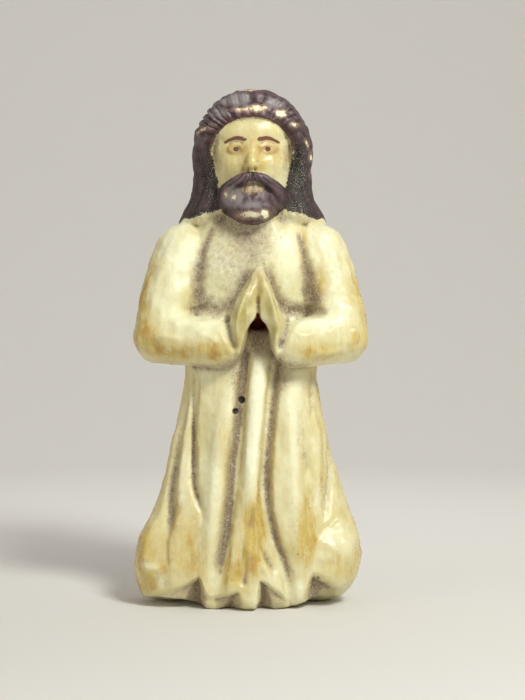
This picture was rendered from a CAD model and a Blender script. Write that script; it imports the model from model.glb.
import math

import bpy
import numpy as np
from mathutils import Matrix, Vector


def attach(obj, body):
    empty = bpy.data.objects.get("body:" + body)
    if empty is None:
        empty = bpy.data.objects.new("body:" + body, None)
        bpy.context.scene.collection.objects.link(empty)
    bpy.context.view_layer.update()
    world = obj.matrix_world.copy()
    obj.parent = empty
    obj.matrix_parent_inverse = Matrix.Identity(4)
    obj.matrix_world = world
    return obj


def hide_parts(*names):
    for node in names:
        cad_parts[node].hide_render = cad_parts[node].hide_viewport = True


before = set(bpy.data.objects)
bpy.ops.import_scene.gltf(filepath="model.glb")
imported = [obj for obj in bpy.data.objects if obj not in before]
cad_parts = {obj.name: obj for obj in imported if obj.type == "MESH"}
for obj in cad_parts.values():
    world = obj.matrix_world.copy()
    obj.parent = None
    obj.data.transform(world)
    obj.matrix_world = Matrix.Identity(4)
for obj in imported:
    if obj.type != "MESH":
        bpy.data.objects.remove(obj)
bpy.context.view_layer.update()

# Sizes are in millimetres, with heights from the underside and x growing towards the figure's
# left hand, as on the solid. They are turned into metres only on their way into the scene. A depth
# is the distance into a marked place, and negative outside it.
MM = 0.001
HEAD_X = 0.15
HANDS_X = 0.9
# The arched opening of the hair: its half-width, where its arch springs, and the arch's rise.
OPENING_HALF = 5.35
SPRING_Z = 55.4
OPENING_RISE = 4.6
EYE = {"across": 1.95, "z": 55.85, "half_width": 0.95, "half_height": 0.4}
MOUTH_LINE = [(HEAD_X - 1.35, 51.3), (HEAD_X - 0.5, 51.42), (HEAD_X + 0.5, 51.42),
              (HEAD_X + 1.35, 51.3)]
HAIR_END_Z = 47.8

ROUGH_VOXEL = 0.2
FINE_VOXEL = 0.15
MOST_TRIANGLES = 190_000
REACH = 3  # how far from its path a mark is looked for
FAR = 99.0  # a distance out of reach
OUTSIDE = -9.0  # a depth well outside a mark


# Modelling by hand

def deselect():
    bpy.ops.object.select_all(action="DESELECT")


def enter_edit():
    bpy.ops.object.mode_set(mode="EDIT")


def leave_edit():
    bpy.ops.object.mode_set(mode="OBJECT")


def make_active(piece):
    deselect()
    piece.select_set(True)
    bpy.context.view_layer.objects.active = piece


def new_material(name):
    """A material and its shader."""
    material = bpy.data.materials.new(name)
    material.use_nodes = True
    return material, material.node_tree.nodes["Principled BSDF"]


def use_modifier(piece, kind, **settings):
    modifier = piece.modifiers.new(kind.title(), kind)
    for name, value in settings.items():
        setattr(modifier, name, value)
    make_active(piece)
    bpy.ops.object.modifier_apply(modifier=modifier.name)


def join(pieces):
    make_active(pieces[0])
    for piece in pieces:
        piece.select_set(True)
    bpy.ops.object.join()
    return bpy.context.object


def ball(centre, radii):
    """An oval lump at a centre."""
    deselect()
    bpy.ops.mesh.primitive_uv_sphere_add(segments=40, ring_count=24, radius=MM)
    lump = bpy.context.object
    lump.scale = radii
    lump.location = Vector(centre) * MM
    bpy.ops.object.transform_apply()
    return lump


def roll(stations):
    """A tapering roll along a smooth curve through (x, y, z, radius) stations."""
    deselect()
    bpy.ops.curve.primitive_nurbs_path_add()
    line = bpy.context.object
    line.data.splines.remove(line.data.splines[0])
    spline = line.data.splines.new("BEZIER")
    spline.bezier_points.add(len(stations) - 1)
    for point, (x, y, z, radius) in zip(spline.bezier_points, stations):
        point.co = Vector((x, y, z)) * MM
        point.radius = radius
        point.handle_left_type = "AUTO"
        point.handle_right_type = "AUTO"
    line.location = (0, 0, 0)
    line.data.dimensions = "3D"
    line.data.bevel_depth = MM
    line.data.bevel_resolution = 4
    line.data.use_fill_caps = True
    bpy.ops.object.convert(target="MESH")
    return bpy.context.object


# Measuring along the surface

def read_vertices(piece, what):
    values = np.empty(len(piece.data.vertices) * 3)
    piece.data.vertices.foreach_get(what, values)
    return values.reshape(-1, 3)


def vertex_places(piece):
    return read_vertices(piece, "co") / MM


def vertex_normals(piece):
    return read_vertices(piece, "normal")


def fade(value, start, end):
    share = np.clip((value - start) / (end - start), 0, 1)
    return share * share * (3 - 2 * share)


def smooth_path(stations, steps=10):
    """A smooth line through flat (x, z) stations."""
    corners = np.array([stations[0], *stations, stations[-1]], float)
    share = np.linspace(0, 1, steps, endpoint=False)[:, None]
    line = []
    for a, b, c, d in zip(corners, corners[1:], corners[2:], corners[3:]):
        bend = 2 * a - 5 * b + 4 * c - d
        twist = 3 * b - a - 3 * c + d
        line.append(0.5 * (2 * b + (c - a) * share + bend * share**2 + twist * share**3))
    return np.vstack([*line, corners[-1:]])


def beside_path(places, stations):
    """How far each place is from a path as seen from in front, its share of the way along it,
    and whether it lies on the path's +X side when the path is walked downwards."""
    line = smooth_path(stations)
    flat = places[:, [0, 2]]
    near = np.all((flat > line.min(axis=0) - REACH) & (flat < line.max(axis=0) + REACH), axis=1)
    spots = flat[near]
    nearest = np.full(len(spots), FAR)
    share_of_way = np.zeros(len(spots))
    plus_side = np.zeros(len(spots), bool)
    for i, (start, end) in enumerate(zip(line, line[1:])):
        span = end - start
        share = np.clip(((spots - start) @ span) / max(span @ span, 1e-9), 0, 1)
        away = spots - start - share[:, None] * span
        far = np.hypot(*away.T)
        closer = far < nearest
        nearest[closer] = far[closer]
        share_of_way[closer] = (i + share[closer]) / (len(line) - 1)
        plus_side[closer] = (span[0] * away[:, 1] - span[1] * away[:, 0])[closer] > 0
    distance = np.full(len(flat), FAR)
    along = np.zeros(len(flat))
    side = np.zeros(len(flat), bool)
    distance[near] = nearest
    along[near] = share_of_way
    side[near] = plus_side
    return distance, along, side


def stroke(places, stations, widths, ends=(0.3, 0.3)):
    """The strength, 0 to 1, of a gouge or ridge along a path, with its half-width on the -X and
    on the +X side. The stroke dies out over the given shares at its ends."""
    distance, along, plus_side = beside_path(places, stations)
    half = np.where(plus_side, widths[1], widths[0])
    start = fade(along, 0, ends[0]) if ends[0] else 1
    end = fade(1 - along, 0, ends[1]) if ends[1] else 1
    return np.exp(-((distance / half) ** 2)) * start * end


def marks(places, rows):
    """The strokes of (strength, half-widths, path, ends) rows, one after the other."""
    for strength, widths, path, *ends in rows:
        yield strength * stroke(places, path, widths, *ends)


def spot(places, middle_x, middle_z, half_width, half_height):
    """A soft oval as seen from in front, 1 in its middle and 0 far from it."""
    across = (places[:, 0] - middle_x) / half_width
    up = (places[:, 2] - middle_z) / half_height
    return np.exp(-(across**2 + up**2))


def strongest_spot(places, rows):
    """The strongest at each place of (x, z, half-width, half-height, strength) rows."""
    return np.max([strength * spot(places, *oval) for *oval, strength in rows], axis=0)


def facing_front(piece, start, end, back_y=1.5):
    """Grows from 0 to 1 as the surface turns to the front. It is 0 behind back_y."""
    return fade(-vertex_normals(piece)[:, 1], start, end) * (vertex_places(piece)[:, 1] < back_y)


def facing_back(piece):
    """Grows from 0 to 1 as the surface turns to the back."""
    return fade(vertex_normals(piece)[:, 1], 0.0, 0.5) * (vertex_places(piece)[:, 1] > -1)


def use_modifier_where(piece, weights, kind, steps=20, **settings):
    """A modifier that works by weights from 0 to 1, rounded to a number of steps."""
    group = piece.vertex_groups.new(name="weights")
    levels = np.round(weights * steps).astype(int)
    for level in range(1, steps + 1):
        chosen = np.nonzero(levels == level)[0]
        if len(chosen):
            group.add(chosen.tolist(), level / steps, "REPLACE")
    use_modifier(piece, kind, vertex_group="weights", **settings)
    piece.vertex_groups.remove(piece.vertex_groups["weights"])


def raise_surface(piece, heights, direction="NORMAL"):
    """Moves the surface out by heights in millimetres, or in where they are negative. Y as the
    direction moves it straight back instead."""
    most = np.abs(heights).max()
    for sign in (1, -1):
        use_modifier_where(piece, sign * heights / most, "DISPLACE", steps=120, mid_level=0,
                           strength=sign * most * MM, direction=direction)


def store(piece, name, values):
    attribute = piece.data.attributes.new(name, "FLOAT", "POINT")
    attribute.data.foreach_set("value", np.asarray(values, np.float32))


# Paths of (x, z) down the front. Left and right are as the photograph shows them.
LEFT_OF_RIB = [(-0.45, 31), (-1.05, 26), (-1.5, 21.5), (-2, 17.2), (-2.3, 13.9), (-2.65, 10.6),
               (-3.15, 7.3), (-3.9, 3.6)]
RIGHT_OF_RIB = [(3.3, 30), (2.8, 26), (2.3, 21.5), (2, 18.2), (1.9, 15), (2.2, 11.7), (3, 8.4),
                (4.1, 5.6), (5.1, 2.2)]
LEFT_SIDE_FOLD = [(-8.3, 26), (-9.3, 17.7), (-9.8, 14.7), (-9.9, 11), (-9.7, 8)]
LEFT_INNER_FOLD = [(-7.3, 29.5), (-7.2, 23.6), (-7.2, 19), (-7, 15), (-5.7, 11)]
RIGHT_SIDE_FOLD = [(9.4, 23), (9.8, 19.1), (9.6, 15.8), (9.1, 12.5), (8.8, 9.8)]
RIGHT_INNER_FOLD = [(6, 24), (6.5, 19.3), (7.1, 15.8)]
WAIST_CREASE = [(7.7, 29.4), (7.5, 26), (7.6, 22)]
HEM_CUT_HIGH = [(0.5, 13.2), (0, 11), (-0.5, 9.4)]
HEM_CUT_LOW = [(-0.1, 7.4), (-0.5, 5.2), (-0.8, 2.9)]
HEM_CUT_RIGHT = [(1.2, 8.2), (1.9, 6.4), (3.1, 4.4)]
NOTCH_FOLD = [(8.9, 3.5), (9.2, 2.7), (9.5, 1.6)]
LOBE_CREASE = [(9, 9.6), (10, 10.4), (11.6, 11.4)]
LEFT_ARM_VALLEY = [(-4.6, 46.9), (-5.6, 44.3), (-6.3, 41.9), (-6.6, 38.8), (-6.2, 37.2)]
RIGHT_ARM_VALLEY = [(5.7, 46.2), (6.5, 43), (7.1, 39.8), (7.8, 36.8)]
LEFT_ELBOW_CREASE = [(-8.4, 36.4), (-5.6, 36.7), (-2.9, 36.1)]
RIGHT_ELBOW_CREASE = [(3.9, 36), (7.3, 36.4), (9.6, 35.8)]
LEFT_CUFF = [(-3, 36.4), (-2.8, 34.8), (-2.35, 33), (-1.5, 31)]
RIGHT_CUFF = [(4.6, 36), (4.4, 34.2), (3.95, 32.7), (3.3, 31)]
LEFT_OF_HANDS = [(0.3, 41.9), (-0.9, 39.8), (-2.1, 37.6), (-3, 36)]
RIGHT_OF_HANDS = [(1.4, 41.9), (2.5, 39.8), (3.4, 37.6), (4.3, 36)]
BETWEEN_HANDS = [(HANDS_X - 0.03, 38.6), (HANDS_X, 37.2), (HANDS_X, 35.6)]
RIB_CREST = [(1.4, 32.6), (1.05, 29.5), (0.65, 25.4), (0.2, 20), (-0.1, 16), (-0.2, 12)]
BREAST_VALLEY = [(-0.7, 46.5), (-0.5, 44), (0.2, 40.5)]

# Grooves, ridges and folds have a depth or height, half-widths (towards -X, towards +X), a path
# and, where it isn't the usual one, the share of the way over which each end dies out.
GROOVES = (
    (0.4, (0.5, 0.7), LEFT_SIDE_FOLD, (0.4, 0.3)),
    (0.4, (0.2, 0.45), LEFT_INNER_FOLD, (0.1, 0.2)),
    (0.35, (0.7, 0.25), LEFT_OF_RIB, (0, 0.2)),
    (0.35, (0.3, 0.6), RIGHT_OF_RIB, (0, 0.15)),
    (0.3, (0.45, 0.5), RIGHT_INNER_FOLD, (0.4, 0.4)),
    (0.4, (0.3, 0.5), RIGHT_SIDE_FOLD, (0.3, 0.4)),
    (0.25, (0.25, 0.3), WAIST_CREASE, (0.2, 0.3)),
    (0.25, (0.2, 0.4), HEM_CUT_HIGH, (0.4, 0.3)),
    (0.25, (0.25, 0.4), HEM_CUT_LOW, (0.4, 0.2)),
    (0.35, (0.25, 0.5), HEM_CUT_RIGHT),
    (0.3, (0.45, 0.55), NOTCH_FOLD, (0.3, 0.2)),
    (0.2, (0.3, 0.5), LOBE_CREASE, (0.3, 0.4)),
    (0.35, (0.6, 0.7), LEFT_ARM_VALLEY, (0.35, 0.2)),
    (0.35, (0.7, 0.6), RIGHT_ARM_VALLEY, (0.35, 0.1)),
    (0.25, (0.6, 0.6), LEFT_ELBOW_CREASE),
    (0.35, (0.6, 0.6), RIGHT_ELBOW_CREASE, (0.2, 0.4)),
    (0.4, (0.45, 0.4), LEFT_CUFF, (0.35, 0.2)),
    (0.5, (0.4, 0.5), RIGHT_CUFF, (0.35, 0.2)),
    (0.3, (0.45, 0.3), LEFT_OF_HANDS),
    (0.3, (0.3, 0.45), RIGHT_OF_HANDS),
    (0.35, (0.16, 0.16), BETWEEN_HANDS, (0.5, 0)),
    (0.25, (1.3, 1.3), BREAST_VALLEY, (0.2, 0.5)),
)
RIDGES = (
    (0.25, (0.5, 0.5), [(-0.4, 9.5), (-0.3, 6), (-0.1, 2)]),
    (0.3, (1.2, 0.8), [(-3.4, 27.5), (-3.7, 21), (-4.4, 14), (-5.2, 7)]),
    (0.3, (0.8, 1), [(4.3, 28), (4.6, 24), (5.1, 16.4), (5.9, 10.4), (6.2, 5)], (0.2, 0.3)),
    (0.25, (0.6, 0.6), [(-8.3, 24), (-8.6, 17), (-8.4, 12)]),
    (0.25, (0.6, 0.6), [(8.4, 24), (8.2, 18), (7.9, 13.4)], (0.2, 0.2)),
    (0.2, (0.35, 0.35), [(-3.8, 34.6), (-3.4, 33.2), (-2.8, 31.9), (-2, 30.7)], (0.3, 0.2)),
    (0.2, (0.35, 0.35), [(5.4, 34.6), (5, 33.4), (4.4, 32.1), (3.5, 30.9)], (0.3, 0.2)),
    (0.2, (0.5, 0.5), [(-12.4, 33.6), (-8.2, 34.4), (-3.8, 34.6)]),
    (0.2, (0.5, 0.5), [(5.2, 34.6), (8.6, 34.9), (12.2, 34.9)]),
    (0.22, (0.25, 0.5), [(-11.4, 34.4), (-10, 34.9), (-8.4, 34.2)]),
    (0.22, (0.5, 0.25), [(-12.4, 32.6), (-10.4, 33.2), (-7.8, 32.4)]),
    (0.18, (0.25, 0.5), [(-6.6, 33.4), (-5, 33), (-3.7, 31.9)]),
    (0.22, (0.25, 0.5), [(4.9, 33.6), (6.4, 33.1), (8.3, 33.6)]),
    (0.22, (0.5, 0.25), [(8.8, 33.3), (10.3, 34.2), (12.2, 34.4)]),
    (0.18, (0.5, 0.25), [(6.8, 31.7), (9, 31.2), (11.6, 31.8)]),
    (0.15, (0.35, 0.5), [(8.2, 8.3), (9.4, 7.6), (10.9, 6.7)]),
    (0.15, (0.5, 0.7), [(6, 15.5), (7.6, 13.9), (8.6, 12.2)]),
    (0.25, (0.5, 0.5), [(-0.9, 11.5), (-1.6, 8), (-2.2, 4.5)]),
    (0.25, (0.35, 0.35), [(1, 7.4), (1.7, 5.4), (2.6, 3.4)]),
    (0.2, (0.5, 0.5), [(-12.6, 5.2), (-10.8, 4.8), (-8.8, 5.6)]),
)
BACK_FOLDS = (
    (0.7, (0.9, 0.6), [(-6, 25), (-7.2, 18), (-8.8, 9), (-9.9, 1)], (0.6, 0.1)),
    (0.9, (0.6, 1), [(-2.9, 30), (-3.3, 22), (-4.6, 11), (-5.8, 0)], (0.5, 0.1)),
    (0.5, (0.8, 0.7), [(-0.6, 20), (-0.9, 13), (-1.9, 6), (-2.3, 0)], (0.6, 0.1)),
    (0.8, (0.9, 0.6), [(2.4, 29), (2.6, 20), (2.4, 10), (1.8, 0)], (0.5, 0.1)),
    (0.6, (0.6, 0.8), [(4.2, 22), (4.8, 14), (5.9, 6), (6.3, 0)], (0.6, 0.1)),
    (0.7, (0.6, 0.9), [(6.5, 26), (7.7, 17), (9.2, 8), (10.2, 1)], (0.6, 0.1)),
    (0.4, (0.9, 0.7), [(-7.4, 45), (-8.3, 40), (-8.7, 35), (-8.2, 31)], (0.4, 0.4)),
    (0.4, (0.7, 0.9), [(7.4, 45), (8.3, 40), (8.7, 35), (8.2, 31)], (0.4, 0.4)),
    (-0.3, (1.6, 1.6), [(-1.9, 24), (-2.6, 14), (-3.9, 4)]),
    (-0.3, (1.6, 1.6), [(0.9, 24), (0.8, 14), (0.2, 4)]),
)
# Where an edge of the solid, and then a corner of the carving, is worn soft:
# (x, z, half-width, half-height).
WORN_EDGES = ((9.6, 10, 1.9, 5.5), (-3.2, 34, 0.6, 1.6), (4.9, 33.6, 0.5, 1.6))
WORN_CORNERS = ((-2.75, 35.1, 0.6, 0.9), (4.45, 35.1, 0.6, 0.9), (8.1, 4.1, 0.8, 0.5),
                (-9.85, 9.6, 0.7, 2.2))
# Low swellings: (x, z, half-width, half-height, height).
SWELLINGS = (
    (-3.3, 41.4, 2, 3.6, 0.4), (3.9, 42, 2.5, 3.9, 0.4), (-8.4, 10.5, 1.4, 3.5, 0.35),
    (5.2, 13, 1.6, 5, 0.2), (-4.1, 20, 1.3, 5, 0.2), (11, 8.1, 1.4, 0.8, 0.25),
    (9.6, 5.6, 1.6, 0.6, -0.15), (4.1, 47.7, 0.9, 1, -0.6), (-3.8, 47.7, 0.9, 1, -0.6),
    (HEAD_X - 1.95, 55.1, 1.2, 0.6, -0.15), (HEAD_X + 1.95, 55.1, 1.2, 0.6, -0.15),
    (HEAD_X - 2.9, 54, 0.9, 0.7, 0.15), (HEAD_X + 2.9, 54, 0.9, 0.7, 0.15),
)
# The edge along the hem below which the cloth turns in, and how far it turns in there. It
# climbs to a point at each of the four notches.
HEM_EDGE = (
    (-14.2, 6, 0.3), (-13.7, 4.5, 0.35), (-13.1, 3, 0.45), (-11.8, 1.9, 0.45), (-10.2, 2.3, 0.5),
    (-8.4, 3.1, 0.7), (-7, 3.8, 1.1), (-6.2, 4.3, 1.3), (-5.7, 3.4, 1.1), (-5.3, 2.4, 0.6),
    (-4.7, 1.9, 0.5), (-3.6, 2.1, 0.8), (-2.4, 2.4, 1.1), (-1.3, 2.6, 0.9), (-0.9, 1.6, 0.4),
    (-0.3, 1, 0.2), (0.6, 0.9, 0.3), (0.85, 2.4, 1.2), (1, 3.9, 1.4), (2.3, 3.5, 0.9),
    (3.9, 2.2, 0.7), (5.4, 1, 0.4), (6.1, 1.5, 0.3), (6.6, 2.6, 0.5), (7.4, 4.5, 1.3),
    (8.6, 3.9, 1.2), (10.2, 3, 0.7), (11.6, 3, 0.5), (12.8, 4.2, 0.4), (13.4, 6, 0.3),
)


def opening_distance(places):
    """How far outside the hair's arched opening each place is, as seen from in front."""
    x = np.abs(places[:, 0] - HEAD_X)
    above = np.maximum(places[:, 2] - SPRING_Z, 0)
    stretch = OPENING_HALF / OPENING_RISE
    return np.hypot(x, above * stretch) - OPENING_HALF


def hair_depth(places):
    """Depth into the painted hair."""
    x, y, z = places.T
    side = np.abs(x - HEAD_X)
    beside_face = side - 4.9 + 0.19 * np.clip(SPRING_Z - z, 0, 6)
    out_of_face = np.where(z < SPRING_Z, beside_face, opening_distance(places) + 0.35)
    out_of_face = np.maximum(out_of_face, np.where(z < 52, y + 1, y + 2.6))
    lower_edge = z - HAIR_END_Z - 0.25 * np.clip(8 - side, 0, 4) * (y < 0)
    waves = 0.2 * np.sin(2.6 * x + 0.8) + 0.12 * np.sin(4.7 * x)
    lower_edge += waves * (0.35 + 0.65 * fade(y, -1, 2))
    lower_edge += 1.3 * fade(y, -1, 3) * np.clip(1 - (x / 7.5) ** 2, 0, 1)
    return np.minimum(out_of_face, lower_edge)


def beard_depth(places):
    """Depth into the painted beard and moustache."""
    x, y, z = places.T
    x = np.abs(x - HEAD_X)
    oval = 3.9 * (1 - np.hypot(x / (4.9 - 0.35 * np.clip(50 - z, 0, 3)), (z - 50.7) / 3.95))
    under_nose = 52.95 - 0.09 * x**2 - z
    return np.minimum(np.minimum(oval, under_nose), -2.2 - y)


def rough_figure():
    """A merged copy of the solid, its facets rounded off."""
    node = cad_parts["praying_figure"]
    figure = bpy.data.objects.new("carved_figure", node.data.copy())
    bpy.context.scene.collection.objects.link(figure)
    figure.data.materials.clear()
    make_active(figure)
    enter_edit()
    bpy.ops.mesh.select_all(action="SELECT")
    bpy.ops.mesh.remove_doubles(threshold=1e-6)
    leave_edit()
    use_modifier(figure, "REMESH", mode="VOXEL", voxel_size=ROUGH_VOXEL * MM)
    use_modifier(figure, "SMOOTH", factor=0.5, iterations=6)
    return figure


def palm(side, breadth):
    """One of the two flat hands, from its heel to its fingertips, with a ridge down its front.
    The breadth stretches its outer edge."""
    stations = (
        # height, inner edge, ridge, outer edge, depth of the edges, depth of the ridge
        (30.9, 2.2, 2.35, 2.5, -6.2, -7),
        (32.2, 1.8, 2.4, 2.75, -6.3, -7.9),
        (33.6, 1.35, 2.55, 3.15, -6.4, -8.5),
        (34.5, 1, 2.6, 3.35, -6.4, -8.7),
        (35.1, 0.44, 2.5, 3.35, -6.4, -8.7),
        (35.7, 0.09, 2.4, 3.25, -6.4, -8.6),
        (36.9, 0.08, 2.05, 2.9, -6.3, -8.3),
        (38.3, 0.04, 1.5, 2.15, -5.9, -7.8),
        (40.2, -0.1, 0.7, 1, -5.3, -6.6),
        (41.5, -0.15, 0.2, 0.35, -4.6, -5.2),
    )
    deselect()
    bpy.ops.mesh.primitive_circle_add(vertices=6, radius=MM, fill_type="NGON")
    hand = bpy.context.object
    for i, (z, inner, ridge, outer, edge_y, ridge_y) in enumerate(stations):
        corners = (
            (inner, edge_y + 2.6),
            (inner, edge_y - 1.1),
            (ridge * breadth, ridge_y),
            (outer * breadth, edge_y),
            (outer * breadth, edge_y + 2.6),
            (ridge * breadth, edge_y + 3),
        )
        make_active(hand)
        enter_edit()
        if i:
            bpy.ops.mesh.extrude_region_move(TRANSFORM_OT_translate={"value": (0, 0, MM)})
        leave_edit()
        chosen = [vertex for vertex in hand.data.vertices if vertex.select]
        for vertex, (across, y) in zip(chosen, corners):
            vertex.co = Vector((HANDS_X + side * across, y, z)) * MM
    enter_edit()
    bpy.ops.mesh.select_all(action="SELECT")
    bpy.ops.mesh.normals_make_consistent(inside=False)
    leave_edit()
    return hand


def head_lumps():
    """The fine forms of the head, on the plain one of the solid."""
    x = HEAD_X
    lumps = [
        ball((x, -2.1, 57.9), (4.9, 3.85, 3)),
        ball((x, -1.9, 54.6), (4.65, 3.8, 3.5)),
        ball((x, -5.4, 50.9), (1.2, 0.7, 0.45)),
        ball((x, -5.45, 51.7), (1.6, 0.75, 0.5)),
        roll([(x, -5, 56.9, 0.42), (x, -5.75, 55.2, 0.48), (x, -6.55, 53.9, 0.62),
              (x, -6.35, 53.5, 0.5)]),
    ]
    for side in (-1, 1):
        lumps += [
            ball((x + side * 3.6, -2.7, 56.6), (1.1, 1.7, 2.6)),
            ball((x + side * EYE["across"], -4.55, EYE["z"]), (1, 0.9, 0.72)),
            ball((x + side * 0.62, -5.95, 53.65), (0.42, 0.6, 0.42)),
            roll([(x + side * 0.9, -5.05, 57, 0.35), (x + side * 2.2, -4.7, 57.15, 0.42),
                  (x + side * 3.4, -3.7, 56.6, 0.35)]),
            roll([(x + side * 0.25, -6.05, 52.55, 0.5), (x + side * 1.6, -5.95, 52.05, 0.62),
                  (x + side * 2.9, -5.3, 51, 0.6), (x + side * 3.7, -4.2, 49.7, 0.5)]),
        ]
    return lumps


def fringe():
    """The raised band of hair round the face, which overhangs the forehead: a rim and, behind
    it, a fuller roll that carries the locks up to the outline of the head."""
    rim = []
    crown = []
    for degrees in range(-14, 172, 12):
        along = math.cos(math.radians(degrees))
        up = math.sin(math.radians(degrees))
        thin = 0.45 + 0.55 * float(fade(min(degrees + 20, 176 - degrees), 0, 45))
        thick = thin * (0.75 + 0.2 * max(up, 0))
        rim.append((HEAD_X + along * 6.15, -3.5 - 1.2 * up, 55.3 + up * 5.4, thick))
        full = thin * (0.85 + 0.6 * max(up, 0))
        crown.append((HEAD_X + along * 6.2, -2.2 - 1.1 * up, 55.6 + up * 6.4, full))
    temple = ball((HEAD_X - 5.9, -2.2, 58.6), (0.8, 0.9, 1))
    return join([roll(rim), roll(crown), temple])


def carve_back(figure):
    """The folds of the back, plainer than those in front, and the lines where the arms meet it."""
    heights = -sum(marks(vertex_places(figure), BACK_FOLDS))
    raise_surface(figure, heights * facing_back(figure))


def hem_recess(places):
    """How far the surface turns in under the hem's edge."""
    x, y, z = places.T
    stations = np.array(HEM_EDGE)
    distance, _, _ = beside_path(places, stations[:, :2])
    line_x, line_z = smooth_path(stations[:, :2]).T
    edge = np.interp(x, np.maximum.accumulate(line_x), line_z, left=OUTSIDE, right=OUTSIDE)
    below = np.where(z < edge, distance, 0)
    turned_in = np.interp(x, stations[:, 0], stations[:, 2], left=0, right=0)
    return turned_in * fade(below, 0, 0.75) * fade(-y, 1.5, 4)


def wear_soft(figure, ovals, iterations):
    """Rounds off what is sharp at a few places of the front."""
    places = vertex_places(figure)
    worn = 1.3 * np.max([spot(places, *oval) for oval in ovals], axis=0)
    worn = np.clip(worn, 0, 1) * (places[:, 1] < -2)
    use_modifier_where(figure, worn, "SMOOTH", factor=0.5, iterations=iterations)


def carve_furrows(figure):
    """The furrows, ridges and swellings of the front, and the turned-in edge of the hem."""
    places = vertex_places(figure)
    depth = np.max([*marks(places, GROOVES)], axis=0)
    heights = sum(marks(places, RIDGES), -depth)
    # The rib down the middle has a nearly flat front.
    heights += 0.32 * np.minimum(1, 2 * stroke(places, RIB_CREST, (0.85, 0.9), (0.3, 0.6)))
    for *oval, high in SWELLINGS:
        heights += high * spot(places, *oval)
    raise_surface(figure, heights * facing_front(figure, -0.15, 0.25))
    raise_surface(figure, hem_recess(vertex_places(figure)), direction="Y")
    use_modifier(figure, "SMOOTH", factor=0.5, iterations=2)


def cuts(phase):
    """Sharp cuts between rounded locks: 1 in the cut, 0 on the crest of a lock."""
    return 1 - np.abs(np.sin(phase))


def carve_hair_and_pits(figure):
    """Locks on the cap of hair, strands at its sides, curls in the beard, and two open pores."""
    places = vertex_places(figure)
    x, y, z = places.T
    inside = fade(hair_depth(places), 0.05, 0.5)
    round_face = np.arctan2(z - 56, x - HEAD_X)
    round_head = np.arctan2(np.abs(x - HEAD_X), 1.5 - y)
    combed = round_face + 0.035 * (y + 3) + 0.05 * np.sin(7 * round_face + 1)
    hanging = round_head + 0.05 * np.sin(z * 0.8 + 3 * round_head)
    on_cap = fade(z - 0.9 * np.clip(y, 0, 6), 54, 57.5)
    # The locks are cut most clearly over the figure's right temple.
    clear = 0.35 + 0.65 * np.exp(-(((round_face - 2.3) / 0.5) ** 2))
    locks = cuts(16 * combed - 1.7 * np.sin(4 * combed) + 0.4)
    wisps = cuts(29 * combed + 1.8 * np.sin(7 * combed))
    cap = clear * (0.38 * locks**1.2 + 0.14 * wisps * (1 - 0.5 * locks))
    locks = cuts(8 * hanging + 0.8 * np.sin(3 * hanging + 0.3 * z))
    wisps = cuts(21 * hanging + np.sin(6 * hanging))
    sides = 0.3 * locks**1.5 + 0.1 * wisps
    heights = -(on_cap * cap + (1 - on_cap) * sides) * inside

    beard = fade(beard_depth(places), -0.1, 0.4) * (y < -2.4)
    round_mouth = np.arctan2(np.abs(x - HEAD_X), np.maximum(53.6 - z, 0.1))
    curls = cuts(11 * round_mouth + 0.6 * np.sin(z * 2.2))
    heights -= 0.1 * curls**1.5 * beard
    for pit_x, pit_z, radius in PITS:
        pit = 1 - fade(np.hypot(x - pit_x, z - pit_z), radius * 0.5, radius)
        heights -= 0.35 * pit * (y < -3)
    raise_surface(figure, heights)


def carve_face(figure):
    """Lids, lips and nostrils, as shallow strokes."""
    places = vertex_places(figure)
    wide = EYE["half_width"]
    high = EYE["half_height"]
    heights = np.zeros(len(places))
    for side in (-1, 1):
        x = HEAD_X + side * EYE["across"]
        z = EYE["z"]
        upper = [(x - wide, z), (x - 0.45 * wide, z + high), (x + 0.45 * wide, z + high), (x + wide, z)]
        lower = [(x - wide, z), (x - 0.4 * wide, z - high), (x + 0.4 * wide, z - high), (x + wide, z)]
        crease = [(px, pz + 0.42) for px, pz in upper]
        heights += 0.2 * stroke(places, upper, (0.17, 0.17), (0.1, 0.1))
        heights += 0.12 * stroke(places, lower, (0.17, 0.17), (0.1, 0.1))
        heights -= 0.12 * stroke(places, crease, (0.2, 0.2), (0.2, 0.2))
        nostril = [(HEAD_X + side * 0.28, 53.2), (HEAD_X + side * 0.6, 53.25)]
        heights -= 0.22 * stroke(places, nostril, (0.2, 0.2), (0.2, 0.2))
        wing = [(HEAD_X + side * 1, 53.9), (HEAD_X + side * 1.12, 53.4), (HEAD_X + side * 1.5, 52.9)]
        heights -= 0.14 * stroke(places, wing, (0.25, 0.25), (0.2, 0.3))
    heights -= 0.1 * stroke(places, MOUTH_LINE, (0.2, 0.2), (0.25, 0.25))
    under_lip = [(HEAD_X - 0.9, 50.35), (HEAD_X, 50.2), (HEAD_X + 0.9, 50.35)]
    heights -= 0.12 * stroke(places, under_lip, (0.25, 0.25))
    raise_surface(figure, heights * facing_front(figure, 0, 0.3, back_y=-3.2))


def knife_texture(kind, size):
    texture = bpy.data.textures.new("knife_" + kind.lower(), kind)
    texture.noise_scale = size * MM
    return texture


def knife_marks(figure, size, strength):
    """The faint uneven planes that the knife and the wear of hands leave on bone."""
    planes = knife_texture("CLOUDS", size)
    planes.noise_depth = 2
    use_modifier(figure, "DISPLACE", texture=planes, texture_coords="LOCAL", mid_level=0.5,
                 strength=strength * MM)


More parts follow.
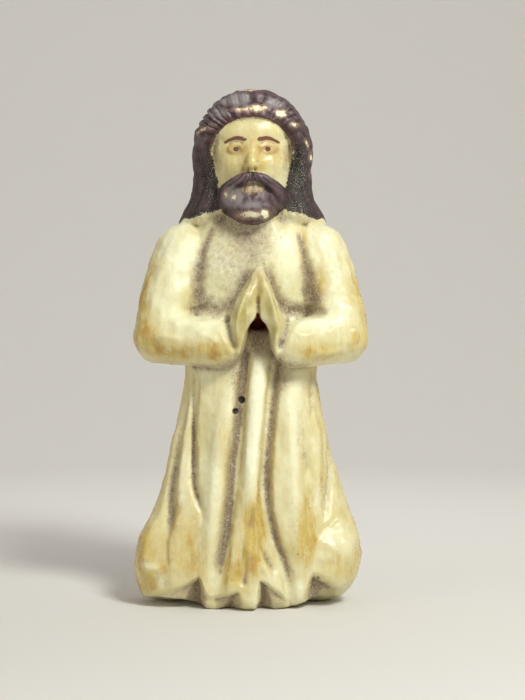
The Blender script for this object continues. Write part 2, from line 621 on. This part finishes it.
def knife_facets(figure):
    """Shallow scooped cuts with crisp edges on the arms and on the swelling ends of the skirt."""
    x, _, z = vertex_places(figure).T
    aside = np.abs(x)
    arms = fade(aside, 4.5, 6.5) * fade(z, 29, 31) * fade(-z, -47, -44)
    skirt_ends = fade(aside, 7.5, 9.5) * fade(-z, -14, -10)
    scoops = knife_texture("VORONOI", 2.8)
    scoops.distance_metric = "DISTANCE"
    use_modifier_where(figure, np.maximum(arms, skirt_ends), "DISPLACE", texture=scoops,
                       texture_coords="LOCAL", mid_level=0.45, strength=0.3 * MM)


def sit_flat(figure):
    """Takes away what bulges under the plane that the figure stands on."""
    for vertex in figure.data.vertices:
        if vertex.co.z < 0:
            vertex.co.z = 0


def thin_out(figure):
    figure.data.calc_loop_triangles()
    share = MOST_TRIANGLES / len(figure.data.loop_triangles)
    if share < 1:
        use_modifier(figure, "DECIMATE", ratio=share, use_collapse_triangulate=True)


def hollows(figure, iterations):
    """How far each place lies below a smoothed copy of the surface, in millimetres."""
    copy = figure.copy()
    copy.data = figure.data.copy()
    bpy.context.scene.collection.objects.link(copy)
    use_modifier(copy, "SMOOTH", factor=0.5, iterations=iterations)
    rise = vertex_places(copy) - vertex_places(figure)
    deep = np.sum(rise * vertex_normals(figure), axis=1)
    bpy.data.objects.remove(copy)
    return deep


# Old dirt along paths: strength, half-widths, path and how the ends die out, as above.
DIRT_TRAILS = (
    (0.95, (1.05, 0.25), LEFT_OF_RIB, (0, 0.12)),
    (0.8, (0.3, 0.8), RIGHT_OF_RIB, (0, 0.12)),
    (0.65, (0.5, 0.7), LEFT_SIDE_FOLD, (0.35, 0.25)),
    (0.65, (0.2, 0.5), LEFT_INNER_FOLD, (0.4, 0.25)),
    (0.35, (0.5, 0.7), RIGHT_SIDE_FOLD, (0.3, 0.4)),
    (0.3, (0.5, 0.6), RIGHT_INNER_FOLD, (0.3, 0.4)),
    (0.35, (0.3, 0.4), WAIST_CREASE, (0.2, 0.4)),
    (0.25, (0.3, 0.5), HEM_CUT_HIGH),
    (0.25, (0.3, 0.5), HEM_CUT_LOW, (0.3, 0.2)),
    (0.35, (0.3, 0.5), HEM_CUT_RIGHT),
    (0.5, (0.4, 0.5), NOTCH_FOLD, (0.3, 0.2)),
    (0.12, (0.2, 0.3), LOBE_CREASE, (0.3, 0.4)),
    (0.8, (0.3, 0.5), LEFT_ARM_VALLEY, (0.1, 0.1)),
    (0.75, (0.8, 0.9), LEFT_ARM_VALLEY[1:], (0.4, 0.1)),
    (0.75, (0.3, 0.45), RIGHT_ARM_VALLEY, (0.1, 0.1)),
    (0.85, (0.7, 1.1), RIGHT_ARM_VALLEY[1:], (0.4, 0.1)),
    (1, (0.16, 0.16), BETWEEN_HANDS, (0.6, 0)),
    (0.4, (1, 0.5), LEFT_ELBOW_CREASE, (0.2, 0.2)),
    (0.5, (1.1, 0.5), RIGHT_ELBOW_CREASE, (0.1, 0.2)),
    (0.7, (0.9, 0.3), LEFT_OF_HANDS, (0.3, 0.1)),
    (0.55, (0.3, 0.8), RIGHT_OF_HANDS, (0.3, 0.1)),
    (0.35, (1.2, 1.2), BREAST_VALLEY, (0.1, 0.4)),
    (0.6, (0.6, 0.6), [(-8.4, 29.6), (-4.5, 29.3), (-1.4, 30), (-0.2, 31.5)], (0.2, 0.2)),
    (0.6, (0.6, 0.6), [(1.9, 32.4), (2.6, 30.6), (4.4, 29.5), (8.2, 29.5)], (0.2, 0.2)),
)
# The spots that follow are (x, z, half-width, half-height, strength). Grime over wider places:
GRIME = (
    (-1.4, 47.2, 3.2, 1.5, 0.8), (-6.4, 47.9, 2.2, 0.8, 0.35), (6.2, 47.9, 2.4, 1, 0.5),
    (0.9, 32.6, 1.5, 2.2, 0.95), (0.2, 42.5, 5, 4.5, 0.36), (-2, 28.4, 1.2, 2, 0.4),
    (4.2, 28, 1.3, 2, 0.6), (0.7, 38.5, 2.6, 2.6, 0.15), (-5.7, 37.1, 1.6, 1.3, 0.7),
    (-3.4, 36.6, 2.2, 0.9, 0.55), (6, 36.6, 2.4, 0.8, 0.85), (7.5, 37.6, 1.1, 1.5, 0.7),
    (4.3, 37, 1.2, 1.1, 0.5), (1.1, 33.6, 1, 0.8, 0.9), (1.2, 30.8, 1.1, 1.5, 0.5),
    (-3.4, 42.5, 2.2, 3.6, 0.2), (-5.9, 43, 0.6, 3, 0.4), (-4.1, 55, 0.6, 3, 0.4),
    (4.4, 55, 0.6, 3, 0.45), (0.2, 59.6, 3.6, 0.6, 0.45), (0.2, 55.5, 4, 4, 0.2),
    (0.3, 45.2, 3.4, 1.6, 0.35), (10.4, 41.5, 2, 4.5, 0.2), (7.2, 41, 0.7, 3, 0.3),
    (7.9, 14.5, 0.35, 2.5, 0.3),
)
# Pale dust in the hair.
DUST = (
    (-5, 52.4, 1.3, 4.2, 0.85), (5.9, 53.4, 1.6, 4.4, 0.95), (6, 49, 1.8, 1.5, 1),
    (-5.6, 48.3, 2, 0.9, 1), (-6.6, 50.5, 1.4, 2.2, 0.5), (7, 50, 1.2, 2.5, 0.5),
)
# Yellowed places, worn by handling.
STAINS = (
    (-8, 10.5, 1.9, 3, 0.75), (-12.3, 3.1, 0.9, 1.1, 1.5), (-12.8, 7.5, 1.3, 2, 0.8),
    (-6.8, 5.5, 1.8, 2.6, 0.5), (-10.4, 5, 1.6, 2.2, 0.5), (0.1, 55, 5, 5, 0.9),
    (0.3, 11.5, 1, 2.6, 0.75), (0.2, 7.6, 1.5, 3.4, 1.1), (-2, 4.5, 1.5, 1.8, 0.7),
    (6.7, 9.2, 1.5, 3.4, 1.1), (4.1, 15.5, 1.6, 4.2, 0.15), (10.8, 6, 2.2, 2.4, 0.45),
    (7.5, 14, 1.2, 2.8, 0.4), (-3.1, 21, 1, 3, 0.3), (-4.6, 16, 1.4, 4.5, 0.2),
    (-4.6, 31.4, 3, 1.5, 1.15), (-9.5, 31.2, 3, 1.5, 0.85), (-12.6, 33, 1.8, 2.2, 0.8),
    (-13.6, 37, 1.4, 3.5, 0.8), (-12.6, 42, 1.4, 3, 0.55), (7.6, 31.2, 3.4, 1.4, 1),
    (13, 33, 2, 2.2, 0.85), (13.3, 39, 1.4, 3.5, 0.55), (-0.9, 34.8, 1.3, 3.2, 0.3),
    (2.9, 35, 1.2, 3.2, 0.3), (0.9, 40.2, 0.5, 0.8, 0.5), (9.5, 46.3, 2.4, 1.2, 0.15),
    (-6.2, 46.6, 2, 1, 0.2), (0.9, 38.6, 1.4, 2, 0.7), (6.5, 44.5, 0.6, 2.8, 0.9),
    (8.3, 39.5, 0.9, 2.4, 0.8), (10.4, 41.5, 2, 4.5, 0.2), (-13.4, 8, 0.8, 3, 0.6),
    (-7.6, 38.5, 0.8, 2.2, 0.4),
)
# The greenish brown of old handling on the palms.
OLIVE_PLACES = (
    (-0.9, 35.4, 1.1, 2.2, 1.2), (-0.1, 37.6, 0.8, 1.8, 1.1), (2.3, 36.4, 0.9, 2.1, 1),
    (3, 33.8, 0.7, 1.8, 0.8), (-1.4, 33, 0.6, 1.3, 0.7), (1.2, 38.8, 0.4, 1.2, 0.9),
)
# Paler, cleaner places, rubbed by handling.
PALE_PLACES = (
    (4.2, 43, 1.6, 2.6, 0.55), (-2.7, 23.8, 0.9, 3.4, 0.6), (-4.4, 15.6, 1, 4.6, 0.95),
    (-4.9, 13.5, 1.5, 4, 0.55), (5.4, 22, 1, 6.5, 0.7), (5.2, 13, 0.8, 4, 0.7),
    (8.1, 13.2, 0.9, 2, 0.6), (-8.3, 14, 0.9, 3, 0.45), (11.2, 8, 1.8, 1.4, 0.6),
    (-12.3, 5.2, 1.1, 0.4, 0.7), (-10.8, 3.4, 0.6, 1, 0.7),
    (0.9, 2.2, 0.6, 1.6, 0.6), (6, 2.7, 0.5, 1.3, 1), (-4.5, 3.6, 0.6, 1.3, 0.5),
    (-9.6, 42, 1.2, 5, 0.4), (-6.2, 34.9, 3.4, 0.6, 0.5), (9, 35, 2.8, 0.6, 0.5),
    (-0.13, 47.75, 1.3, 0.6, 1.3), (1.75, 47.8, 0.6, 0.6, 1.3), (0.7, 60.75, 1.2, 0.5, 0.6),
    (3.7, 60.2, 0.8, 0.6, 0.9), (-1.9, 38, 0.5, 1.6, 0.5), (-8.4, 13.4, 0.6, 1, 0.7),
)
# Where the paint of the hair and beard has rubbed off: (x, z, half-width, half-height).
WORN_PATCHES = (
    (0.7, 60.75, 1.1, 0.34), (-1, 60.6, 0.7, 0.16), (3.7, 60.2, 0.62, 0.5), (-0.2, 63.6, 0.65, 0.2),
    (5.3, 58.9, 0.35, 0.22), (-6, 58.6, 0.6, 0.15), (6.9, 57, 0.22, 0.3), (7.5, 55.6, 0.16, 0.3),
    (7.6, 53.4, 0.16, 0.35), (0.1, 47.8, 1.3, 0.34), (1.7, 47.9, 0.5, 0.5),
    (-2, 49.9, 0.3, 0.3), (-3.05, 50.3, 0.18, 0.35),
)
# Where the paint is only thinned and grey, the same way.
GREY_PATCHES = (
    (-1.6, 62, 1.5, 0.9), (-2.1, 49.9, 1.3, 1.2), (0.2, 48.9, 1.6, 0.4), (2.8, 61.4, 1.1, 0.6),
    (-4, 60.4, 0.9, 0.6), (-3.2, 62, 0.7, 0.4),
)
# Two open pores of the bone, cut as pits, and small dark ones: (x, z, radius).
PITS = ((-1.1, 25.35, 0.5), (-1.85, 24, 0.44))
SMALL_PORES = (
    (8.9, 17.1, 0.16), (5.7, 6.8, 0.2), (-6, 4.4, 0.13), (1.6, 15.1, 0.18), (1.85, 16.4, 0.13),
)


def dirt_field(figure, front):
    """Old dirt in the furrows, under the edge of the hem and in the folds of the back."""
    places = vertex_places(figure)
    dirt = np.max([*marks(places, DIRT_TRAILS)], axis=0)
    for *oval, strength in GRIME:
        dirt = 1 - (1 - dirt) * (1 - strength * spot(places, *oval))
    on_hands = fade(-6.9 - places[:, 1], 0, 0.5) * fade(places[:, 2], 29, 31)
    dirt *= 1 - 0.85 * on_hands
    for path in (LEFT_CUFF, RIGHT_CUFF):
        dirt = np.maximum(dirt, 0.55 * stroke(places, path, (0.4, 0.4), (0.1, 0.3)))
    dirt = np.maximum(dirt * front, np.clip(hem_recess(places) * 0.9 - 0.25, 0, 0.9))
    behind = 0.4 * facing_back(figure)
    for fold in marks(places, BACK_FOLDS):
        dirt = np.maximum(dirt, fold * behind)
    return dirt


def yellowing_field(figure):
    """Stains in front, and an even yellowing of the back, the foot and the outer sides."""
    places = vertex_places(figure)
    x, y, z = places.T
    stain = sum(strength * spot(places, *oval) for *oval, strength in STAINS)
    stain *= fade(-y, -3.5, -0.5)
    stain += 0.3 * fade(y, 0, 5) + 0.3 * fade(-z, -31, -27)
    facing_side = fade(np.abs(vertex_normals(figure)[:, 0]), 0.55, 0.95)
    stain += 0.4 * facing_side * fade(-z, -48, -45)
    stain += 0.5 * fade(np.abs(x), 12.2, 14.2) * fade(y, -4, 0) * fade(-y, -6, -2)
    return np.clip(stain, 0, 1.4)


def patch_depth(places, patches, back_y):
    """Depth into the deepest of some oval patches. They end at back_y."""
    x, y, z = places.T
    depth = np.full(len(places), OUTSIDE)
    for middle_x, middle_z, half_width, half_height in patches:
        inside = 1 - np.hypot((x - middle_x) / half_width, (z - middle_z) / half_height)
        inside = np.where(y < back_y, inside, OUTSIDE) * min(half_width, half_height)
        depth = np.maximum(depth, inside)
    return depth


def eye_depths(places):
    """Depths into the painted brows and irises, and into a thin line round each eye."""
    x, _, z = places.T
    drawn = np.full(len(places), OUTSIDE)
    lids = np.full(len(places), OUTSIDE)
    for side in (-1, 1):
        brow = [(HEAD_X + side * 0.9, 56.95), (HEAD_X + side * 2, 57.15), (HEAD_X + side * 3.3, 56.7)]
        distance, along, _ = beside_path(places, brow)
        across = x - (HEAD_X + side * EYE["across"])
        up = z - EYE["z"]
        iris = np.minimum(0.34 - np.hypot(across, up), 0.24 - up)
        drawn = np.max([drawn, 0.26 - 0.1 * along - distance, iris], axis=0)
        ring = np.hypot(across / EYE["half_width"], up / EYE["half_height"])
        lids = np.maximum(lids, 0.2 - np.abs(ring - 1.05) * EYE["half_height"])
    return drawn, lids


def pore_depth(places):
    x, y, z = places.T
    depth = np.full(len(places), OUTSIDE)
    for pore_x, pore_z, radius in (*PITS, *SMALL_PORES):
        depth = np.maximum(depth, radius - np.hypot(x - pore_x, z - pore_z))
    return np.where(y < -3, depth, OUTSIDE)


def drilled_depth(places):
    """Depth into the drilled hole and the slit above it."""
    x, y, z = places.T
    aside = np.abs(x - HANDS_X)
    hole = np.minimum(35.6 - z - aside, 0.4 * (z - 34.0 + 0.4 * aside))
    slit = np.minimum(0.01 + 0.09 * (38.2 - z) - aside, z - 34)
    between_hands = (y > -6.9) & (y < 0)
    return np.where(between_hands, np.maximum(hole, slit), OUTSIDE)


def paint_fields(figure):
    """The fields that the material reads at each vertex."""
    places = vertex_places(figure)
    y, z = places[:, 1], places[:, 2]
    front = facing_front(figure, -0.2, 0.3)
    upper_face = (y < -3) & (z > 54)

    store(figure, "dirt", dirt_field(figure, front))
    store(figure, "fine_hollow", hollows(figure, 5))
    store(figure, "wide_hollow", hollows(figure, 60))
    store(figure, "yellowing", yellowing_field(figure))
    pale_rib = 1.1 * np.minimum(1, 1.4 * stroke(places, RIB_CREST, (0.8, 0.85), (0.3, 0.35)))
    store(figure, "paleness", np.maximum(pale_rib, strongest_spot(places, PALE_PLACES)) * front)

    store(figure, "hair_paint", np.maximum(hair_depth(places), beard_depth(places)))
    store(figure, "dust", strongest_spot(places, DUST) * front)
    rim = np.exp(-((opening_distance(places) / 0.35) ** 2)) * (z > 54)
    store(figure, "rim", rim * (y < 0))
    store(figure, "worn", patch_depth(places, WORN_PATCHES, back_y=0.3))
    store(figure, "greyed", patch_depth(places, GREY_PATCHES, back_y=1.5))

    drawn, lids = eye_depths(places)
    store(figure, "drawn_line", np.where(upper_face, drawn, OUTSIDE))
    store(figure, "lid_line", np.where(upper_face, lids, OUTSIDE))
    store(figure, "pore", pore_depth(places))
    store(figure, "drilled", drilled_depth(places))
    store(figure, "olive", strongest_spot(places, OLIVE_PLACES) * fade(-6.3 - y, 0, 0.5))
    store(figure, "lip", spot(places, HEAD_X + 0.1, 51, 1.6, 0.9) * (y < -4))
    distance, _, _ = beside_path(places, MOUTH_LINE)
    store(figure, "mouth_line", np.where(y < -4, 1 - fade(distance, 0.05, 0.3), 0))


# The material

class Wiring:
    """A small help for building a node tree from values, sockets and names of attributes."""

    def __init__(self, tree):
        self.tree = tree

    def node(self, kind, settings=None, **inputs):
        made = self.tree.nodes.new(kind)
        for name, value in (settings or {}).items():
            setattr(made, name, value)
        for name, value in inputs.items():
            self.feed(made.inputs[name.replace("_", " ")], value)
        return made

    def feed(self, socket, value):
        if isinstance(value, bpy.types.NodeSocket):
            self.tree.links.new(value, socket)
        else:
            socket.default_value = value

    def attribute(self, name):
        return self.node("ShaderNodeAttribute", {"attribute_name": name}).outputs["Fac"]

    def math(self, operation, a, b, clamp=False):
        made = self.node("ShaderNodeMath", {"operation": operation, "use_clamp": clamp})
        self.feed(made.inputs[0], a)
        self.feed(made.inputs[1], b)
        return made.outputs[0]

    def plus(self, a, b, clamp=False):
        return self.math("ADD", a, b, clamp)

    def minus(self, a, b, clamp=False):
        return self.math("SUBTRACT", a, b, clamp)

    def times(self, a, b, clamp=False):
        return self.math("MULTIPLY", a, b, clamp)

    def swing(self, noise, amount):
        """How far a noise swings about its middle, times an amount."""
        return self.times(self.minus(noise, 0.5), amount)

    def ramp(self, value, low, high, to_low=0, to_high=1):
        made = self.node("ShaderNodeMapRange", {"interpolation_type": "SMOOTHSTEP"}, Value=value,
                         From_Min=low, From_Max=high, To_Min=to_low, To_Max=to_high)
        return made.outputs["Result"]

    def mix(self, share, a, b):
        made = self.node("ShaderNodeMix", {"data_type": "RGBA"}, Factor=share)
        self.feed(made.inputs[6], a)
        self.feed(made.inputs[7], b)
        return made.outputs[2]

    def noise(self, size_mm, detail=3, stretch=(1, 1, 1), roughness=0.55):
        where = self.node("ShaderNodeTexCoord").outputs["Object"]
        if stretch != (1, 1, 1):
            where = self.node("ShaderNodeMapping", Vector=where, Scale=stretch).outputs[0]
        made = self.node("ShaderNodeTexNoise", Vector=where, Scale=1 / (size_mm * MM),
                         Detail=detail, Roughness=roughness)
        return made.outputs["Fac"]


def colour(red, green, blue):
    """An sRGB colour from 0 to 255, as the linear one that a shader takes."""
    linear = [
        share / 12.92 if share <= 0.04045 else ((share + 0.055) / 1.055) ** 2.4
        for share in (red / 255, green / 255, blue / 255)
    ]
    return (*linear, 1)


CREAM = colour(224, 219, 174)
PALE_CREAM = colour(241, 241, 210)
OCHRE = colour(203, 178, 96)
OLIVE = colour(168, 154, 82)
AMBER = colour(180, 132, 66)
MOTTLE = colour(196, 177, 138)
WHITE_BONE = colour(249, 250, 220)
DIRT = colour(150, 130, 106)
DARK_DIRT = colour(72, 58, 50)
LINT = colour(214, 204, 188)
GREYED_PAINT = colour(146, 140, 140)
HAIR_PAINT = colour(80, 55, 59)
HAIR_SHADE = colour(50, 38, 38)
HAIR_SHEEN = colour(116, 100, 104)
RIM_PAINT = colour(74, 32, 26)
THIN_PAINT = colour(166, 132, 118)
HAIR_DIRT = colour(38, 34, 30)
DUST_COLOUR = colour(176, 170, 156)
LIP = colour(118, 94, 70)
SCUFFED_LIP = colour(188, 168, 124)
LINE_PAINT = colour(104, 44, 38)
HOLE = colour(104, 36, 22)
PORE = colour(54, 48, 52)


def old_bone():
    material, shader = new_material("old_bone")
    w = Wiring(material.node_tree)

    grain = w.noise(0.5, 4, (1, 1, 0.1))
    streaks = w.noise(1, 3, (1, 1, 0.12), 0.6)
    clouds = w.noise(4.5, 3)
    marble = w.noise(1.5, 3, (1, 1, 0.5), roughness=0.5)
    specks = w.noise(0.22, 2, roughness=0.7)
    grit = w.noise(0.55, 4, roughness=0.7)

    bone = w.mix(w.ramp(clouds, 0.35, 0.7), CREAM, PALE_CREAM)
    bone = w.mix(w.ramp(streaks, 0.45, 0.75, 0, 0.25), bone, OCHRE)
    yellow = w.times(w.attribute("yellowing"), w.ramp(streaks, 0.3, 0.65, 0.85, 1.02))
    yellow = w.times(yellow, w.ramp(marble, 0.35, 0.65, 0.75, 1.15), clamp=True)
    bone = w.mix(yellow, bone, OCHRE)
    amber = w.times(w.ramp(yellow, 0.7, 1, 0, 0.55), w.ramp(marble, 0.45, 0.65))
    bone = w.mix(amber, bone, AMBER)
    olive = w.times(w.attribute("olive"), w.ramp(marble, 0.35, 0.6, 0.55, 1), clamp=True)
    bone = w.mix(olive, bone, OLIVE)
    pale = w.times(w.attribute("paleness"), w.ramp(grit, 0.3, 0.6, 0.6, 1))
    bone = w.mix(pale, bone, WHITE_BONE)
    bone = w.mix(w.ramp(grain, 0.5, 0.8, 0, 0.4), bone, PALE_CREAM)
    bone = w.mix(w.ramp(grit, 0.5, 0.75, 0, 0.22), bone, OCHRE)
    bone = w.mix(w.ramp(w.noise(0.3, 3, (1, 1, 0.4)), 0.55, 0.8, 0, 0.35), bone, MOTTLE)

    fine = w.attribute("fine_hollow")
    wide = w.attribute("wide_hollow")
    deep = w.plus(w.ramp(wide, 0.03, 0.45, 0, 0.5), w.ramp(fine, 0.004, 0.05, 0, 0.35))
    soot = w.plus(w.attribute("dirt"), deep, clamp=True)
    uneven = w.plus(w.swing(grit, 0.8), w.swing(specks, 0.6))
    uneven = w.times(uneven, w.ramp(soot, 0, 0.35))
    soot = w.plus(soot, uneven, clamp=True)
    soot = w.minus(soot, w.times(pale, 0.3), clamp=True)
    wash = w.ramp(soot, 0.04, 0.9)
    bone = w.mix(w.times(wash, 0.86), bone, DIRT)
    bone = w.mix(w.ramp(soot, 0.75, 1.15, 0, 0.55), bone, DARK_DIRT)
    speckle = w.times(w.ramp(specks, 0.46, 0.3), w.ramp(soot, 0.1, 0.7, 0, 0.75))
    bone = w.mix(speckle, bone, DARK_DIRT)
    lint = w.times(w.ramp(specks, 0.56, 0.68), w.ramp(soot, 0.3, 0.8, 0, 0.8))
    bone = w.mix(lint, bone, LINT)

    paint_noise = w.swing(grit, 0.28)
    dust = w.attribute("dust")
    fuzz = w.times(w.swing(specks, dust), 1.8)
    painted = w.plus(w.plus(w.attribute("hair_paint"), paint_noise), fuzz)
    painted = w.ramp(painted, -0.05, 0.06)
    ragged = w.swing(grit, 0.9)
    worn = w.plus(w.attribute("worn"), ragged)
    rubbed = w.ramp(worn, -0.01, 0.06)
    edge_wear = w.ramp(w.minus(w.times(specks, 0.06), fine), 0.085, 0.1)
    kept = w.minus(1, w.math("MAXIMUM", rubbed, edge_wear), clamp=True)
    painted = w.times(painted, kept)
    paint = w.mix(w.ramp(w.noise(1.4, 3), 0.35, 0.7), HAIR_PAINT, HAIR_SHADE)
    motes = w.noise(0.15, 2, roughness=0.7)
    clean = w.minus(1, dust)
    paint = w.mix(w.times(w.ramp(fine, -0.04, 0.01, 0.7, 0), clean), paint, HAIR_SHEEN)
    paint = w.mix(w.ramp(fine, 0.01, 0.06, 0, 0.6), paint, HAIR_SHADE)
    paint = w.mix(w.times(w.attribute("rim"), 0.7), paint, RIM_PAINT)
    paint = w.mix(w.ramp(worn, -0.38, 0, 0, 0.8), paint, THIN_PAINT)
    greyed = w.ramp(w.plus(w.attribute("greyed"), ragged), -0.35, 0.35, 0, 0.75)
    paint = w.mix(greyed, paint, GREYED_PAINT)
    paint = w.mix(dust, paint, HAIR_DIRT)
    settled = w.ramp(w.plus(w.times(dust, 0.2), motes), 0.69, 0.84)
    settled = w.times(settled, w.ramp(dust, 0.05, 0.5, 0, 0.8))
    paint = w.mix(settled, paint, DUST_COLOUR)
    skin = w.mix(w.times(w.ramp(w.attribute("lid_line"), -0.12, 0.2), 0.45), bone, AMBER)
    brushed = w.plus(w.attribute("drawn_line"), w.times(paint_noise, 0.6))
    drawn = w.ramp(brushed, -0.05, 0.05)
    skin = w.mix(w.times(drawn, 0.92), skin, LINE_PAINT)
    look = w.mix(painted, skin, paint)
    scuffs = w.swing(grit, 0.8)
    rubbed_lip = w.plus(w.attribute("lip"), scuffs)
    lip = w.mix(w.ramp(grit, 0.35, 0.62), LIP, SCUFFED_LIP)
    look = w.mix(w.ramp(rubbed_lip, 0.3, 0.8, 0, 0.9), look, lip)
    look = w.mix(w.times(w.attribute("mouth_line"), 0.6), look, HAIR_SHADE)
    pore = w.ramp(w.attribute("pore"), 0, 0.1)
    look = w.mix(w.times(pore, 0.95), look, PORE)
    look = w.mix(w.ramp(w.attribute("drilled"), -0.15, 0.15), look, HOLE)
    w.feed(shader.inputs["Base Color"], look)

    roughness = w.ramp(grit, 0.3, 0.7, 0.34, 0.5)
    roughness = w.plus(roughness, w.times(wash, 0.35))
    roughness = w.minus(roughness, w.times(yellow, 0.16))
    roughness = w.plus(roughness, w.times(painted, 0.08))
    roughness = w.plus(roughness, w.times(dust, 0.3))
    roughness = w.plus(roughness, w.ramp(w.attribute("drilled"), -0.15, 0.15, 0, 0.6))
    w.feed(shader.inputs["Roughness"], roughness)
    w.feed(shader.inputs["IOR"], 1.5)
    w.feed(shader.inputs["Subsurface Weight"], 0.22)
    w.feed(shader.inputs["Subsurface Radius"], (1, 0.62, 0.3))
    w.feed(shader.inputs["Subsurface Scale"], 0.9 * MM)

    height = w.plus(w.times(grain, 0.6), w.times(grit, 0.35))
    height = w.plus(height, w.times(w.times(wash, specks), 1.2))
    bump = w.node("ShaderNodeBump", Strength=0.55, Distance=0.06 * MM, Height=height)
    w.feed(shader.inputs["Normal"], bump.outputs[0])
    return material


def carved_figure():
    figure = rough_figure()
    palms = [palm(side=-1, breadth=1), palm(side=1, breadth=0.88)]
    figure = join([figure, *palms, *head_lumps(), fringe()])
    figure.name = "carved_figure"
    use_modifier(figure, "REMESH", mode="VOXEL", voxel_size=FINE_VOXEL * MM)
    use_modifier(figure, "SMOOTH", factor=0.5, iterations=3)
    wear_soft(figure, WORN_EDGES, iterations=160)
    carve_furrows(figure)
    wear_soft(figure, WORN_CORNERS, iterations=40)
    carve_back(figure)
    knife_marks(figure, size=1.2, strength=0.13)
    knife_facets(figure)
    carve_face(figure)
    carve_hair_and_pits(figure)
    knife_marks(figure, size=2.6, strength=0.3)
    sit_flat(figure)
    thin_out(figure)
    make_active(figure)
    bpy.ops.object.shade_smooth()
    paint_fields(figure)
    figure.data.materials.append(old_bone())
    return figure


# The stage

FLOOR = {"radius": 400, "height": 500, "sweep": 220}
PAPER = colour(226, 224, 220)
ROOM_LIGHT = (1, 0.94, 0.9, 1)
KEY_TINT = (0.985, 1, 0.955)
FILL_TINT = (1, 0.96, 0.87)
# The camera looks straight back. At its distance, the picture is picture_height high.
CAMERA = {"x": 1.44, "distance": 160, "z": 31.44, "picture_height": 87.85, "sensor": 36}


def pale_stage():
    """A pale round floor whose rim sweeps up into a backdrop all round."""
    deselect()
    bpy.ops.mesh.primitive_circle_add(vertices=96, radius=FLOOR["radius"] * MM, fill_type="NGON")
    floor = bpy.context.object
    floor.name = "sweep"
    enter_edit()
    bpy.ops.mesh.select_all(action="SELECT")
    bpy.ops.mesh.select_mode(type="EDGE")
    bpy.ops.mesh.region_to_loop()
    up = (0, 0, FLOOR["height"] * MM)
    bpy.ops.mesh.extrude_edges_move(TRANSFORM_OT_translate={"value": up})
    bpy.ops.mesh.select_all(action="DESELECT")
    leave_edit()
    for edge in floor.data.edges:
        edge.select = all(abs(floor.data.vertices[i].co.z) < 1e-4 for i in edge.vertices)
    enter_edit()
    bpy.ops.mesh.bevel(offset=FLOOR["sweep"] * MM, segments=20, affect="EDGES")
    leave_edit()
    bpy.ops.object.shade_smooth()
    material, shader = new_material("pale_paper")
    shader.inputs["Base Color"].default_value = PAPER
    shader.inputs["Roughness"].default_value = 0.9
    floor.data.materials.append(material)


def soft_light(name, place, aim, size, power, tint=(1, 1, 1)):
    bpy.ops.object.light_add(type="AREA", location=Vector(place) * MM)
    lamp = bpy.context.object
    lamp.name = name
    lamp.data.size = size * MM
    lamp.data.energy = power
    lamp.data.color = tint
    lamp.rotation_euler = (Vector(aim) - Vector(place)).to_track_quat("-Z", "Y").to_euler()


def studio():
    world = bpy.data.worlds.new("studio")
    bpy.context.scene.world = world
    world.use_nodes = True
    background = world.node_tree.nodes["Background"]
    background.inputs["Color"].default_value = ROOM_LIGHT
    background.inputs["Strength"].default_value = 0.3
    middle = (0, 0, 30)
    soft_light("key", (100, -150, 190), aim=middle, size=60, power=0.5, tint=KEY_TINT)
    soft_light("fill", (-220, -160, 90), aim=middle, size=160, power=0.1, tint=FILL_TINT)
    soft_light("backdrop", (0, 60, 230), aim=(0, 420, 90), size=200, power=0.3)
    bpy.context.scene.view_settings.view_transform = "Standard"


def photo_camera():
    bpy.ops.object.camera_add()
    camera = bpy.context.object
    camera.name = "photo_camera"
    camera.data.sensor_fit = "VERTICAL"
    camera.data.sensor_height = CAMERA["sensor"]
    camera.data.lens = CAMERA["sensor"] * CAMERA["distance"] / CAMERA["picture_height"]
    camera.data.clip_start = 5 * MM
    camera.location = Vector((CAMERA["x"], -CAMERA["distance"], CAMERA["z"])) * MM
    camera.rotation_euler = (math.pi / 2, 0, 0)
    bpy.context.scene.camera = camera


figure = carved_figure()
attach(figure, "root")
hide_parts("praying_figure")
pale_stage()
studio()
photo_camera()

bpy.context.view_layer.update()
